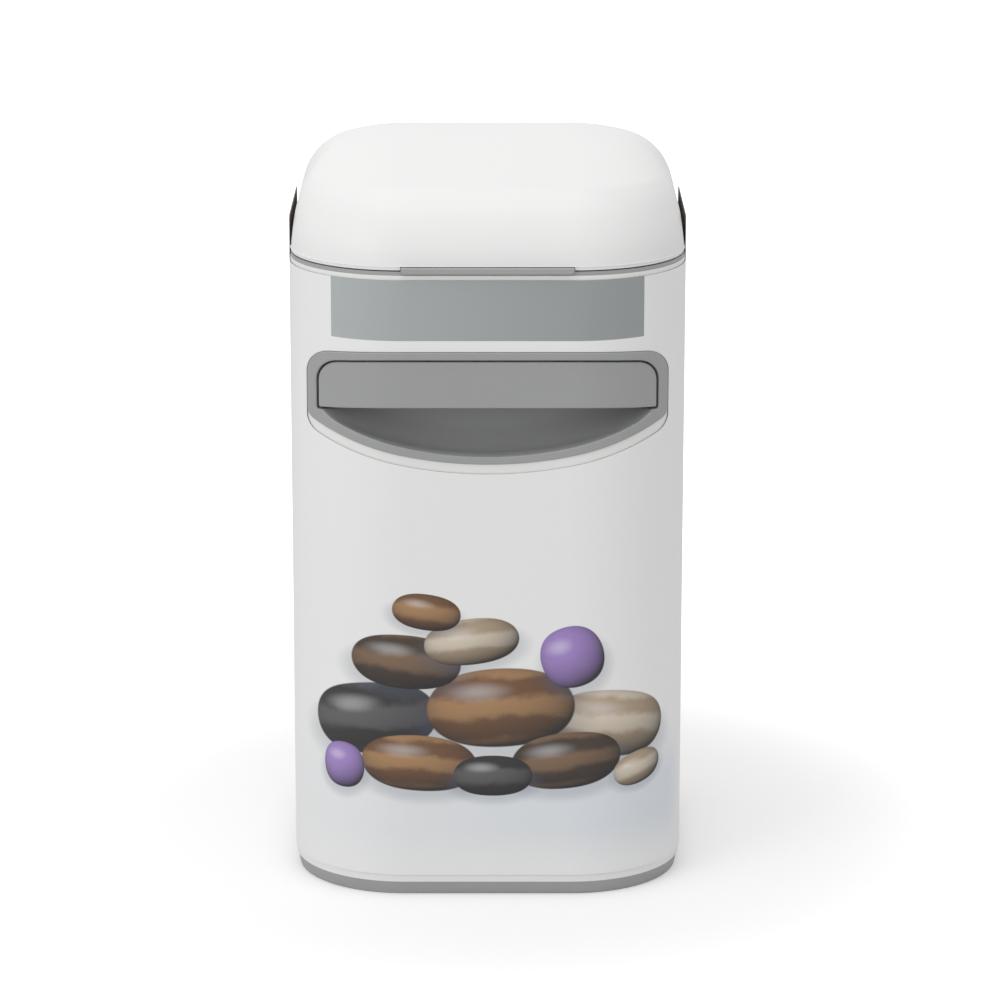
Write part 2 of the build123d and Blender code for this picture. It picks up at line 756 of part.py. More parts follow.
with BuildPart() as wrap_sleeve:
    add(body_tube(wrap_gap + wrap_thickness, wrap_gap, wrap_bottom, wrap_top))
    add(wrap_window, mode=Mode.SUBTRACT)
    add(body_tube(wrap_gap + wrap_thickness, wrap_gap, wrap_top, ear_top) & ear_keep)
    upper_corners = wrap_sleeve.edges().filter_by(Axis.X).group_by(Axis.Z)[-1]
    fillet(upper_corners, ear_corner)
save(wrap_sleeve.part, "wrap_sleeve")
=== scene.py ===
# %% [markdown]
# # A litter disposal pail
#
# A tall rounded-square steel pail stands on a grey plastic base and wears the printed card wrap
# that it is sold in.  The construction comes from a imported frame: every solid, joint and size is
# already there.  This lesson gives each part its finish, models the soft pressed shapes that the
# frame keeps plain, and sets up the studio.  All lengths are in metres.

# %% Load the frame
import math

import bpy
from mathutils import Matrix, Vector


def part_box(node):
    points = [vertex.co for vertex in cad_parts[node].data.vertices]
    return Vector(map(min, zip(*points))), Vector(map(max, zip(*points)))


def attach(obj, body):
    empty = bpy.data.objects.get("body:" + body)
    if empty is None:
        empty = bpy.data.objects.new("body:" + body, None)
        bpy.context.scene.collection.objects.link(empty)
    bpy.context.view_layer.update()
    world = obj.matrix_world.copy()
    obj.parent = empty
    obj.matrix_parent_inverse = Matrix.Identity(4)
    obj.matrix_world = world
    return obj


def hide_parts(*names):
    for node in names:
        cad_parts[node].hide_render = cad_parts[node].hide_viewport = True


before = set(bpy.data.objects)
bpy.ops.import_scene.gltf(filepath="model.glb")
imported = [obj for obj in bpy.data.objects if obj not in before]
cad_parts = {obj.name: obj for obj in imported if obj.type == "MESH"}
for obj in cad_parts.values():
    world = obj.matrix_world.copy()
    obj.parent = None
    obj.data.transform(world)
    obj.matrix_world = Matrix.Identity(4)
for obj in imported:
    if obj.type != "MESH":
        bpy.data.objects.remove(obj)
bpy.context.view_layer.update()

# %% [markdown]
# A long lens looks at the pail from a little above, which keeps its sides nearly upright.  The
# camera stands three metres away for the same reason: the further away it is, the less the sides
# lean together.

# %% Camera
CAMERA_DISTANCE = 3.1585
CAMERA_HEIGHT = 1.093
CAMERA_PITCH = math.radians(14.548)
CAMERA_LENS = 149.96
CAMERA_SENSOR = 36.0
CAMERA_SHIFT = 0.0124


def make_camera():
    """A long lens, level from side to side, that looks down at the pail's front."""
    data = bpy.data.cameras.new("studio_camera")
    data.lens = CAMERA_LENS
    data.sensor_width = CAMERA_SENSOR
    data.shift_x = CAMERA_SHIFT
    data.clip_end = 60.0
    camera = bpy.data.objects.new("studio_camera", data)
    camera.location = (0.0, -CAMERA_DISTANCE, CAMERA_HEIGHT)
    camera.rotation_euler = (math.pi / 2 - CAMERA_PITCH, 0.0, 0.0)
    bpy.context.scene.collection.objects.link(camera)
    bpy.context.scene.camera = camera
    return camera


camera = make_camera()
print("camera lens:", camera.data.lens, "mm")

# %% [markdown]
# A material is a small calculation.  Wiring it node by node hides the sum in the plumbing, so one
# class wraps a socket and lets plain Python arithmetic add the Math nodes.  A second class holds a
# material's tree and makes every other kind of node.


# %% Shader maths
class Signal:
    """A value inside a material.  Arithmetic on it adds Math nodes."""

    def __init__(self, recipe, socket):
        self.recipe = recipe
        self.socket = socket

    def math(self, operation, *others):
        return self.recipe.node("Math", {"operation": operation}, dict(enumerate((self, *others))))

    def __add__(self, other):
        return self.math("ADD", other)

    __radd__ = __add__

    def __mul__(self, other):
        return self.math("MULTIPLY", other)

    __rmul__ = __mul__

    def __sub__(self, other):
        return self.math("SUBTRACT", other)

    def __rsub__(self, other):
        return self.recipe.node("Math", {"operation": "SUBTRACT"}, {0: other, 1: self})

    def __truediv__(self, other):
        return self.math("DIVIDE", other)

    def __abs__(self):
        return self.math("ABSOLUTE")

    def at_least(self, other):
        return self.math("MAXIMUM", other)

    def at_most(self, other):
        return self.math("MINIMUM", other)

    def power(self, other):
        return self.math("POWER", other)

    def sine(self):
        return self.math("SINE")

    def rise(self, low, high):
        """0 below low, 1 above high, and a smooth step between them."""
        settings = {"interpolation_type": "SMOOTHSTEP"}
        return self.recipe.node("MapRange", settings, {"Value": self, "From Min": low, "From Max": high})


class Recipe:
    """A material under construction, with one Principled shader."""

    def __init__(self, name):
        self.material = bpy.data.materials.new(name)
        self.material.use_nodes = True
        self.tree = self.material.node_tree
        self.shader = self.tree.nodes["Principled BSDF"]

    def feed(self, socket, value):
        if isinstance(value, Signal):
            self.tree.links.new(value.socket, socket)
        elif isinstance(value, tuple) and socket.type == "RGBA" and len(value) == 3:
            socket.default_value = (*value, 1.0)
        else:
            socket.default_value = value

    def node(self, kind, settings=None, sockets=None, output=0):
        """Any node: its type, its settings, and what goes into its sockets."""
        made = self.tree.nodes.new("ShaderNode" + kind)
        for key, value in (settings or {}).items():
            setattr(made, key, value)
        for key, value in (sockets or {}).items():
            self.feed(made.inputs[key], value)
        return Signal(self, made.outputs[output])

    def place(self):
        """Where the shaded point is on the pail, in metres."""
        return self.node("TexCoord", output="Object")

    def axes(self, vector):
        """The three parts of a vector."""
        split = self.node("SeparateXYZ", sockets={"Vector": vector}).socket.node
        return [Signal(self, split.outputs[axis]) for axis in "XYZ"]

    def stretch(self, vector, factors):
        """A vector scaled by a different factor along each axis."""
        return self.node("VectorMath", {"operation": "MULTIPLY"}, {0: vector, 1: factors})

    def noise(self, vector, size, detail=2.0, roughness=0.5):
        """Soft random values whose lumps are about `size` metres across."""
        sockets = {"Vector": vector, "Scale": 1.0 / size, "Detail": detail, "Roughness": roughness}
        return self.node("TexNoise", sockets=sockets)

    def mix(self, factor, first, second):
        """One colour at factor 0, the other at factor 1."""
        return self.node("Mix", {"data_type": "RGBA"}, {0: factor, 6: first, 7: second}, output=2)

    def tint(self, colour, spread, signal):
        """A colour that gets a little darker and lighter with a signal around 0.5."""
        darker = tuple(channel * (1.0 - spread) for channel in colour)
        lighter = tuple(min(1.0, channel * (1.0 + spread)) for channel in colour)
        return self.mix(signal, darker, lighter)

    def bump(self, height, distance, strength=1.0, normal=None):
        """A normal from a height between 0 and 1 that stands for `distance` metres."""
        sockets = {"Height": height, "Distance": distance, "Strength": strength}
        if normal is not None:
            sockets["Normal"] = normal
        return self.node("Bump", sockets=sockets)

    def finish(self, **inputs):
        """Sets the shader's sockets by name, with spaces written as underscores."""
        for name, value in inputs.items():
            self.feed(self.shader.inputs[name.replace("_", " ")], value)
        return self.material


def dress(node, *materials):
    """Gives a frame part its finish, slot by slot."""
    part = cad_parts[node]
    part.data.materials.clear()
    for material in materials:
        part.data.materials.append(material)


print("shader helpers ready")

# %% [markdown]
# Most of the trim is a mid grey plastic with a fine spark-eroded grain.  A mould never gives a
# perfectly even grey, so a broad soft noise moves the colour a percent or two, and a fine one
# breaks up the gloss.  The Bevel node rounds the sharp moulded edges just enough to catch light.

# %% Grey plastic
GREY = (0.365, 0.368, 0.372)
GRAIN_SIZE = 0.00045
GRAIN_DEPTH = 0.00003
EDGE_ROUND = 0.0005


def moulded_plastic(name, colour, roughness=0.45, grain=1.0, spread=0.03, edge=EDGE_ROUND):
    """Injection-moulded plastic with a textured skin and softened edges."""
    recipe = Recipe(name)
    place = recipe.place()
    cloud = recipe.noise(place, 0.06)
    fine = recipe.noise(place, GRAIN_SIZE, detail=3.0)
    rounded = recipe.node("Bevel", {"samples": 4}, {"Radius": edge})
    return recipe.finish(
        Base_Color=recipe.tint(colour, spread, cloud),
        Roughness=(fine - 0.5) * 0.12 + roughness,
        Normal=recipe.bump(fine, GRAIN_DEPTH * grain, 0.6, rounded),
    )


grey_plastic = moulded_plastic("grey_plastic", GREY)
handle_plastic = moulded_plastic("handle_plastic", (0.345, 0.347, 0.352), roughness=0.42)
bin_plastic = moulded_plastic("bin_plastic", (0.21, 0.212, 0.218), roughness=0.5)
tray_plastic = moulded_plastic("tray_plastic", (0.76, 0.76, 0.75), roughness=0.4, grain=0.6, spread=0.015)
dark_plastic = moulded_plastic("dark_plastic", (0.055, 0.056, 0.06), roughness=0.42)
bezel_plastic = moulded_plastic("bezel_plastic", (0.345, 0.348, 0.352))
for node in ("base_tray", "collar_ring", "lid_liner", "bag_ring"):
    dress(node, grey_plastic)
dress("handle_bezel", bezel_plastic)
dress("handle_grip", handle_plastic)
dress("inner_bin", bin_plastic)
dress("funnel_tray", tray_plastic)
for node in ("clamp_housing", "gate_slide", "roll_spindle"):
    dress(node, dark_plastic)
print("grey trim dressed")

# %% [markdown]
# The lid is a glossier white plastic, and the pail behind the wrap is powder-coated steel.  Both
# get a faint orange peel, which is what makes a real highlight waver at its edges.

# %% White finishes
LID_WHITE = (0.825, 0.825, 0.82)
SHELL_WHITE = (0.83, 0.83, 0.82)
COAT_ROUGHNESS = 0.12


def glossy_white(name, colour, roughness, peel_size, peel_depth, coat, shine):
    """A smooth white surface under a thin clear skin."""
    recipe = Recipe(name)
    place = recipe.place()
    peel = recipe.noise(place, peel_size, detail=1.0)
    cloud = recipe.noise(place, 0.09)
    return recipe.finish(
        Base_Color=recipe.tint(colour, 0.01, cloud),
        Roughness=(cloud - 0.5) * 0.06 + roughness,
        Coat_Weight=coat,
        Coat_Roughness=COAT_ROUGHNESS,
        Specular_IOR_Level=shine,
        Normal=recipe.bump(peel, peel_depth, 0.5),
    )


lid_plastic = glossy_white("lid_plastic", LID_WHITE, 0.46, 0.004, 0.00003, 0.05, 0.32)
shell_paint = glossy_white("shell_paint", SHELL_WHITE, 0.36, 0.0015, 0.00003, 0.1, 0.5)
dress("steel_shell", shell_paint)
print("white finishes ready")

# %% [markdown]
# The frame's lid is a plain loft.  The real lid is a moulded shell with a soft shoulder: its front
# leans back like a forehead, then breaks into a flatter top that rises slowly to the middle.  A
# stack of rounded rectangles says this well, because each one needs only a height and three
# insets.  A smooth curve through those rows gives as many rings as the shine needs.

# %% Lid rings
BODY_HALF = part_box("steel_shell")[1][0]
CORNER = 0.085
LID_WALL = 0.0028
RING_STEPS = 7
FLAT_STEPS = 12
CORNER_STEPS = 18
# Each row in millimetres: height above the lid's edge, then how far the side, the front and the
# corner radius draw in from the body's outline.
LID_ROWS = [
    (0.0, 1.3, 1.3, 0.8),
    (1.2, 0.5, 0.5, 0.0),
    (14.0, 1.6, 3.2, 1.0),
    (26.0, 3.4, 8.6, 2.5),
    (38.0, 6.4, 16.8, 6.0),
    (46.0, 9.5, 24.4, 10.0),
    (51.0, 12.2, 30.2, 12.5),
    (54.5, 14.4, 35.2, 15.0),
    (57.3, 16.4, 42.0, 18.0),
    (61.7, 19.8, 54.0, 23.0),
    (67.2, 25.5, 70.0, 31.0),
    (72.3, 33.0, 86.0, 41.0),
    (77.2, 45.0, 104.0, 50.0),
    (80.6, 60.0, 119.0, 60.0),
    (82.7, 80.0, 133.0, 70.0),
    (83.5, 106.0, 145.0, 81.5),
]
print(len(LID_ROWS), "rows shape the lid")

# %% [markdown]
# The rows are the lid's control points.  A cubic curve through each column of numbers gives the
# rings between them, and its slope at a row comes from that row's two neighbours.


# %% Smooth rows
def smooth_rows(rows, steps):
    """A smooth curve through rows of numbers, with extra rows in each gap."""
    slopes = [[0.0] * len(rows[0])]
    for before, after in zip(rows, rows[2:]):
        slopes.append([(high - low) / 2 for low, high in zip(before, after)])
    slopes.append(slopes[-1])
    slopes[0] = [(high - low) for low, high in zip(rows[0], rows[1])]
    result = []
    for index in range(len(rows) - 1):
        for step in range(steps):
            part = step / steps
            weights = (
                2 * part**3 - 3 * part**2 + 1,
                part**3 - 2 * part**2 + part,
                3 * part**2 - 2 * part**3,
                part**3 - part**2,
            )
            terms = (rows[index], slopes[index], rows[index + 1], slopes[index + 1])
            result.append([sum(w * term[column] for w, term in zip(weights, terms))
                           for column in range(len(rows[0]))])
    return result + [list(rows[-1])]


lid_rows = smooth_rows(LID_ROWS, RING_STEPS)
print(len(lid_rows), "rings, the top one", lid_rows[-1][0], "mm above the lid's edge")

# %% [markdown]
# The lid's liner carries the finger tab and the two hinge arms, and all three pass through the
# skin.  These are the sizes of the openings that they need.

# %% Lid openings
LINER_RISE = 0.0020
ARM_RISE = 0.0040
TAB_HALF = 0.064
NOTCH_GAP = 0.0004
KNUCKLE_HALF = 0.007
HINGE_SPREAD = 0.060
# The cutting boxes start past the edge, end outside the lid, and reach in to these depths.
CUT_PAST = 0.01
CUT_OUTSIDE = 0.20
TAB_CUT_INSIDE = 0.14
HINGE_CUT_INSIDE = 0.135
SHARP_ANGLE = math.radians(35)
print("finger tab:", round(2000 * TAB_HALF), "mm wide")

# %% [markdown]
# Each ring runs the same way round with the same number of points, so neighbouring rings join
# point for point, like the hoops of a basket.


# %% Lid ring points
# The way round a ring: each corner's signs, then the direction of the straight run after it.
RING_TURNS = [((1, 1), (-1, 0)), ((-1, 1), (0, -1)), ((-1, -1), (1, 0)), ((1, -1), (0, 1))]


def ring_points(row, low_edge):
    """One ring of the lid, as points in metres, anticlockwise seen from above."""
    rise, side, front, corner = (value / 1000 for value in row)
    radius = CORNER - corner
    flat_x = BODY_HALF - side - radius
    flat_y = BODY_HALF - front - radius
    points = []
    for turn, ((sign_x, sign_y), (run_x, run_y)) in enumerate(RING_TURNS):
        for step in range(CORNER_STEPS + 1):
            angle = (turn + step / CORNER_STEPS) * math.pi / 2
            points.append(Vector((sign_x * flat_x + radius * math.cos(angle),
                                  sign_y * flat_y + radius * math.sin(angle), low_edge + rise)))
        run = Vector((run_x * 2 * flat_x, run_y * 2 * flat_y, 0.0)) / FLAT_STEPS
        start = points[-1]
        points.extend(start + run * step for step in range(1, FLAT_STEPS))
    return points


ring_length = len(ring_points(lid_rows[0], 0.0))
print("points in a ring:", ring_length)

# %% [markdown]
# Four small helpers serve every piece that is made here: one builds a mesh, one turns modifiers
# into plain geometry, and two take a box out of a piece with a Boolean cut.


# %% Mesh helpers
def mesh_piece(name, points, faces, material):
    """A new piece from points and faces, shaded smooth all over."""
    mesh = bpy.data.meshes.new(name)
    mesh.from_pydata(points, [], faces)
    mesh.materials.append(material)
    piece = bpy.data.objects.new(name, mesh)
    bpy.context.scene.collection.objects.link(piece)
    mesh.shade_smooth()
    return piece


def settle(piece):
    """Turns a piece's modifiers into plain geometry."""
    bpy.context.view_layer.update()
    depsgraph = bpy.context.evaluated_depsgraph_get()
    made = bpy.data.meshes.new_from_object(piece.evaluated_get(depsgraph))
    piece.modifiers.clear()
    piece.data = made
    return made


def block(name, low, high):
    """A box between two corners, used only to cut with."""
    corners = [(x, y, z) for z in (low[2], high[2]) for y in (low[1], high[1]) for x in (low[0], high[0])]
    sides = [(0, 2, 3, 1), (4, 5, 7, 6), (0, 1, 5, 4), (2, 6, 7, 3), (0, 4, 6, 2), (1, 3, 7, 5)]
    mesh = bpy.data.meshes.new(name)
    mesh.from_pydata(corners, [], sides)
    cutter = bpy.data.objects.new(name, mesh)
    bpy.context.scene.collection.objects.link(cutter)
    return cutter


def cut(piece, low, high):
    """Takes a box out of a piece."""
    cutter = block("cutter", low, high)
    boolean = piece.modifiers.new("notch", "BOOLEAN")
    boolean.operation = "DIFFERENCE"
    boolean.solver = "MANIFOLD"
    boolean.object = cutter
    settle(piece)
    bpy.data.objects.remove(cutter)


print("mesh helpers ready")

# %% [markdown]
# The lid's wall comes from a Solidify modifier, which thickens the skin inwards so that the
# outside keeps its size.  Boolean cuts then leave room for the liner's finger tab in front and its
# hinge arms at the back.


# %% Lid skin
def make_lid_skin():
    """The lid's outer shell with its wall, its finger notch and its hinge notches."""
    low_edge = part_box("lid_shell")[0][2]
    rings = [ring_points(row, low_edge) for row in lid_rows]
    count = ring_length
    faces = []
    for level in range(len(rings) - 1):
        low, high = level * count, (level + 1) * count
        for step in range(count):
            after = (step + 1) % count
            faces.append((low + step, low + after, high + after, high + step))
    faces.append(tuple(range((len(rings) - 1) * count, len(rings) * count)))
    points = [point for ring in rings for point in ring]
    skin = mesh_piece("lid_skin", points, faces, lid_plastic)
    wall = skin.modifiers.new("wall", "SOLIDIFY")
    wall.thickness = LID_WALL
    wall.offset = -1.0
    settle(skin)
    notch_top = low_edge + LINER_RISE + NOTCH_GAP
    below = low_edge - CUT_PAST
    half = TAB_HALF + NOTCH_GAP
    cut(skin, (-half, -CUT_OUTSIDE, below), (half, -TAB_CUT_INSIDE, notch_top))
    half = KNUCKLE_HALF + NOTCH_GAP
    for middle in (-HINGE_SPREAD, HINGE_SPREAD):
        low = (middle - half, HINGE_CUT_INSIDE, below)
        high = (middle + half, CUT_OUTSIDE, low_edge + ARM_RISE + NOTCH_GAP)
        cut(skin, low, high)
    skin.data.set_sharp_from_angle(angle=SHARP_ANGLE)
    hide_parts("lid_shell")
    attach(skin, "lid")
    return skin


lid_skin = make_lid_skin()
print("lid skin:", len(lid_skin.data.polygons), "faces,", len(lid_rows), "rings")

# %% [markdown]
# The wrap is printed on one side only.  Its print has to bend round the pail's corners, so the
# pattern is drawn on a coordinate that runs along the outline, as a tape measure would: straight
# across the front, then round the corner arc, then back along the side.  The kraft inner face is
# told from the printed one by its distance from the corner arcs' centres.  The back half gets a
# whole metre added, which keeps the front's print off it.

# %% Wrap coordinates
FLAT_HALF = BODY_HALF - CORNER
WRAP_MIDDLE = 0.00055


def wrap_coordinates(recipe):
    """Distance round the outline from the front's middle, height, and a mask of the outer face."""
    x, y, z = recipe.axes(recipe.place())
    over_x = (abs(x) - FLAT_HALF).at_least(0.0)
    over_front = (y * -1.0 - FLAT_HALF).at_least(0.0)
    over_any = (abs(y) - FLAT_HALF).at_least(0.0)
    angle = over_x.math("ARCTAN2", over_front + 0.000001)
    along_side = (y.at_least(-FLAT_HALF) + FLAT_HALF) * (over_x * 1000.0).at_most(1.0)
    behind = y.rise(0.0, 0.01)
    round_way = abs(x).at_most(FLAT_HALF) + angle * CORNER + along_side + behind
    distance = (over_x * over_x + over_any * over_any).power(0.5) - CORNER
    outer = distance.rise(WRAP_MIDDLE - 0.00005, WRAP_MIDDLE + 0.00005)
    return round_way * x.math("SIGN"), z, outer


print("flat part of the front:", round(2 * FLAT_HALF * 1000), "mm wide")

# %% [markdown]
# The wrap's picture is a plain one: smooth banded pebbles and lilac balls on a pale ground.
# Each pebble is an ellipse.  Inside it a half-sphere gives a height, the height's slopes give a
# shade from the upper left, and wavy bands across it give the stone its layers.

# %% Printed pebbles
PEBBLE_TONES = {
    "tawny": ((0.46, 0.26, 0.12), (0.20, 0.095, 0.04)),
    "umber": ((0.24, 0.15, 0.085), (0.07, 0.045, 0.03)),
    "cream": ((0.78, 0.68, 0.55), (0.50, 0.38, 0.26)),
    "slate": ((0.13, 0.125, 0.13), (0.035, 0.034, 0.036)),
    "lilac": ((0.42, 0.28, 0.66), (0.24, 0.13, 0.45)),
}
PEBBLE_DARK = (0.012, 0.010, 0.012)
SHADOW_TONE = (0.10, 0.12, 0.18)
SHADOW_STRENGTH = 0.30
GLEAM_WHITE = (0.95, 0.95, 0.97)
GLEAM_STRENGTH = 0.30
# Where the gleam sits, in half widths to the left and half heights up.
GLEAM_LEFT = 0.30
GLEAM_UP = 0.42
# Each pebble: tone, centre round the wrap, height, half width, half height, tilt, bands.
PEBBLES = [
    ("slate", -0.088, 0.141, 0.050, 0.028, 0.10, 5),
    ("cream", 0.096, 0.136, 0.047, 0.026, -0.14, 6),
    ("tawny", 0.010, 0.150, 0.056, 0.031, 0.05, 6),
    ("umber", -0.062, 0.186, 0.042, 0.021, -0.10, 5),
    ("lilac", 0.064, 0.190, 0.024, 0.024, 0.30, 0),
    ("cream", -0.012, 0.202, 0.036, 0.018, 0.12, 5),
    ("tawny", -0.046, 0.225, 0.026, 0.014, -0.16, 4),
    ("umber", 0.060, 0.108, 0.042, 0.022, 0.12, 6),
    ("tawny", -0.052, 0.106, 0.044, 0.022, -0.08, 6),
    ("lilac", -0.112, 0.101, 0.018, 0.018, 0.0, 0),
    ("slate", 0.004, 0.096, 0.030, 0.016, 0.0, 4),
    ("cream", 0.118, 0.098, 0.022, 0.013, 0.2, 4),
]


def draw_pebble(recipe, ground, across, up, wobble, pebble):
    """Paints one pebble and its soft shadow over a ground colour."""
    tone, centre_x, centre_z, half_width, half_height, tilt, bands = pebble
    light, dark = PEBBLE_TONES[tone]
    cosine, sine = math.cos(tilt), math.sin(tilt)
    side, lift = across - centre_x, up - centre_z
    along = (side * cosine + lift * sine) * (1.0 / half_width)
    over = (lift * cosine - side * sine) * (1.0 / half_height)
    fourth = along * along * along * along * 0.35
    radius = along * along * 0.65 + fourth + over * over
    dome = (1.0 - radius).at_least(0.0).power(0.5)
    shade = (dome * 0.62 + over * 0.36 - along * 0.20 + 0.16).at_least(0.03).at_most(1.1)
    stripes = (wobble * 0.5 + 0.5) if not bands else ((over * bands + wobble * 3.2).sine() * 0.5 + 0.5)
    stone = recipe.mix(stripes.rise(0.15, 0.85), dark, light)
    lit = recipe.mix(shade, PEBBLE_DARK, stone)
    aside, above = along + GLEAM_LEFT, over - GLEAM_UP
    gleam = (1.0 - (aside * aside * 3.0 + above * above * 9.0)).at_least(0.0)
    lit = recipe.mix(gleam * gleam * GLEAM_STRENGTH, lit, GLEAM_WHITE)
    mask = 1.0 - radius.rise(0.96, 1.04)
    shadow_gap = (over + 0.35) * (over + 0.35) + along * along * 0.8
    shadow = (1.0 - shadow_gap.rise(0.55, 1.55)) * SHADOW_STRENGTH
    ground = recipe.mix(shadow, ground, SHADOW_TONE)
    return recipe.mix(mask, ground, lit)


print(len(PEBBLES), "pebbles to print")

# %% [markdown]
# The card itself is white with a light varnish.  Behind the print, a grey band runs under the
# lid, with painted shade that darkens it towards the right, and the foot of the picture fades into
# a cool pale ground.  Only a faint fibre and a slow waviness show in the gloss.

# %% Printed card
CARD_WHITE = (0.84, 0.842, 0.838)
KRAFT = (0.155, 0.125, 0.11)
BAND_GREY = (0.42, 0.448, 0.45)
BAND_GREY_PAINTED_SHADE = (0.315, 0.336, 0.340)
BAND_HALF_WIDTH = 0.1195
BAND_FOOT = 0.4335
GROUND_BLUE = (0.60, 0.66, 0.74)


def printed_card():
    """Varnished card: printed outside, kraft inside."""
    recipe = Recipe("printed_card")
    across, up, outer = wrap_coordinates(recipe)
    place = recipe.place()
    cloud = recipe.noise(place, 0.05)
    fibre = recipe.noise(recipe.stretch(place, (1.0, 1.0, 0.45)), 0.0007, detail=4.0, roughness=0.65)
    wobble = recipe.noise(recipe.stretch(place, (1.0, 1.0, 1.6)), 0.03, detail=5.0, roughness=0.6)
    front = 1.0 - abs(across).rise(0.150, 0.190)
    fade = (1.0 - up.rise(0.082, 0.132)) * (0.35 + across * 1.6).at_least(0.10).at_most(0.62) * front
    fade = fade * up.rise(0.016, 0.060)
    print_colour = recipe.mix(fade, CARD_WHITE, GROUND_BLUE)
    for pebble in PEBBLES:
        print_colour = draw_pebble(recipe, print_colour, across, up, wobble, pebble)
    band = (1.0 - abs(across).rise(BAND_HALF_WIDTH - 0.0002, BAND_HALF_WIDTH + 0.0002))
    band = band * up.rise(BAND_FOOT - 0.0002, BAND_FOOT + 0.0002)
    # Painted shade: the band's grey is mixed darker towards the right, where less light falls on it.
    band_colour_with_painted_shade = recipe.mix((across * 5.0 + 0.62).at_least(0.0).at_most(1.0), BAND_GREY, BAND_GREY_PAINTED_SHADE)
    print_colour = recipe.mix(band, print_colour, band_colour_with_painted_shade)
    kraft = recipe.tint(KRAFT, 0.22, fibre)
    colour = recipe.mix(outer, kraft, print_colour)
    return recipe.finish(
        Base_Color=colour,
        Roughness=outer * (-0.38) + 0.86 + (fibre - 0.5) * 0.10,
        Coat_Weight=outer * 0.12,
        Coat_Roughness=0.30,
        Normal=recipe.bump(fibre, 0.00002, 0.5, recipe.bump(cloud, 0.0006, 0.25)),
    )


wrap_card = printed_card()
dress("wrap_sleeve", wrap_card)
print("wrap printed")

# %% [markdown]
# A sleeve starts as a flat sheet, so somewhere its two ends must overlap.  Behind the pail one end
# lies glued over the other: a second layer of card whose free edge curls away a little.

# %% Glue flap
FLAP_LEFT = 0.012
FLAP_RIGHT = 0.046
FLAP_CARD = 0.0005
FLAP_CURL = 0.0004
FLAP_MARGIN = 0.0015
FLAP_WAVE = 21.0
WRAP_TOP = 0.479
FLAP_COLUMNS = 12
FLAP_ROWS = 60


def make_glue_flap():
    """The overlapping end of the card, just beside the middle of the back."""
    wrap_low, wrap_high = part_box("wrap_sleeve")
    back = wrap_high[1]
    foot, head = wrap_low[2] + FLAP_MARGIN, WRAP_TOP - FLAP_MARGIN
    layers = []
    for lift in (0.0, FLAP_CARD):
        for row in range(FLAP_ROWS + 1):
            height = foot + (head - foot) * row / FLAP_ROWS
            for column in range(FLAP_COLUMNS + 1):
                share = column / FLAP_COLUMNS
                curl = FLAP_CURL * share**4 * (1.0 + 0.5 * math.sin(height * FLAP_WAVE))
                layers.append((FLAP_LEFT + (FLAP_RIGHT - FLAP_LEFT) * share, back + lift + curl, height))
    across, layer = FLAP_COLUMNS + 1, (FLAP_ROWS + 1) * (FLAP_COLUMNS + 1)
    faces = []
    for row in range(FLAP_ROWS):
        for column in range(FLAP_COLUMNS):
            start = row * across + column
            square = (start, start + 1, start + across + 1, start + across)
            faces.append(square)
            faces.append(tuple(layer + corner for corner in (square[0], *square[:0:-1])))
    rim = list(range(across))
    rim += [row * across + FLAP_COLUMNS for row in range(1, FLAP_ROWS + 1)]
    rim += [FLAP_ROWS * across + column for column in range(FLAP_COLUMNS - 1, -1, -1)]
    rim += [row * across for row in range(FLAP_ROWS - 1, 0, -1)]
    for here, there in zip(rim, rim[1:] + rim[:1]):
        faces.append((here, here + layer, there + layer, there))
    flap = mesh_piece("glue_flap", layers, faces, wrap_card)
    flap.data.set_sharp_from_angle(angle=SHARP_ANGLE)
    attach(flap, "pail")
    return flap


glue_flap = make_glue_flap()
print("glue flap:", len(glue_flap.data.polygons), "faces")

# %% [markdown]
# Inside, the hardware is steel wire, drawn pins and zinc-plated screws, with rubber lips on the
# gate and the lid, and a wound roll of thin film on a card tube.

# %% Metals, rubber, film and card tube


def drawn_steel(name, colour, roughness, along):
    """Steel with fine scratches that run along one axis."""
    recipe = Recipe(name)
    streaks = recipe.noise(recipe.stretch(recipe.place(), along), 0.0006, detail=4.0, roughness=0.7)
    return recipe.finish(
        Base_Color=recipe.tint(colour, 0.10, streaks),
        Metallic=1.0,
        Roughness=(streaks - 0.5) * 0.18 + roughness,
        Normal=recipe.bump(streaks, 0.00001, 0.4),
    )


def matte_rubber():
    """Black rubber with a dusty bloom in patches."""
    recipe = Recipe("seal_rubber")
    place = recipe.place()
    bloom = recipe.noise(place, 0.012, detail=4.0)
    fine = recipe.noise(place, 0.0004)
    return recipe.finish(
        Base_Color=recipe.tint((0.035, 0.035, 0.038), 0.35, bloom),
        Roughness=bloom * 0.15 + 0.68,
        Normal=recipe.bump(fine, 0.00003, 0.5),
    )


def wound_film():
    """Pale blue film: the layers' edges show as rings, and stretch lines run round it."""
    recipe = Recipe("wound_film")
    place = recipe.place()
    lines = recipe.noise(recipe.stretch(place, (1.0, 0.06, 0.06)), 0.0009, detail=3.0)
    cloud = recipe.noise(place, 0.02)
    return recipe.finish(
        Base_Color=recipe.tint((0.60, 0.68, 0.78), 0.10, lines),
        Roughness=(cloud - 0.5) * 0.10 + 0.30,
        Coat_Weight=0.3,
        Normal=recipe.bump(lines, 0.00006, 0.5),
    )


def kraft_tube():
    """The brown card tube that the film is wound on."""
    recipe = Recipe("kraft_tube")
    fibre = recipe.noise(recipe.stretch(recipe.place(), (0.3, 1.0, 1.0)), 0.0012, detail=5.0)
    return recipe.finish(
        Base_Color=recipe.tint((0.40, 0.29, 0.18), 0.18, fibre),
        Roughness=fibre * 0.1 + 0.80,
        Normal=recipe.bump(fibre, 0.00005, 0.5),
    )


